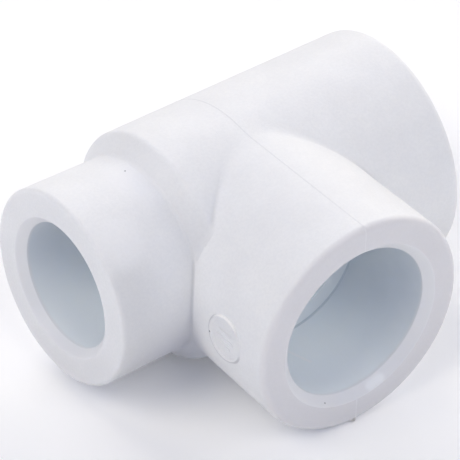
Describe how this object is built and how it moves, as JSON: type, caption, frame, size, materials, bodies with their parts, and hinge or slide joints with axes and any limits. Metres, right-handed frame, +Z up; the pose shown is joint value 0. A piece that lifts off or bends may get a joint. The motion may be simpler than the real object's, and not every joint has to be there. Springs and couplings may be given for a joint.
{
  "type": "reducing socket tee",
  "caption": "White polypropylene reducing tee for fusion-welded water pipe, with a stepped run, a branch at right angles and plain tapered sockets.",
  "frame": {"origin": "on the surface that the fitting lies on, below the middle of its box; the axes of the run and the branch cross at (0, 6.85, 17.7) mm", "axes": "+X along the run, out of the 25 mm socket; -X out of the reduced 20 mm socket; -Y out of the branch; +Z up"},
  "size_m": [0.0588, 0.0491, 0.0354],
  "materials": {
    "white_polypropylene": "fine spark-eroded matt outside, smoother in the sockets"
  },
  "bodies": {
    "root": {"tee_moulding": "white_polypropylene"}
  },
  "joints": []
}
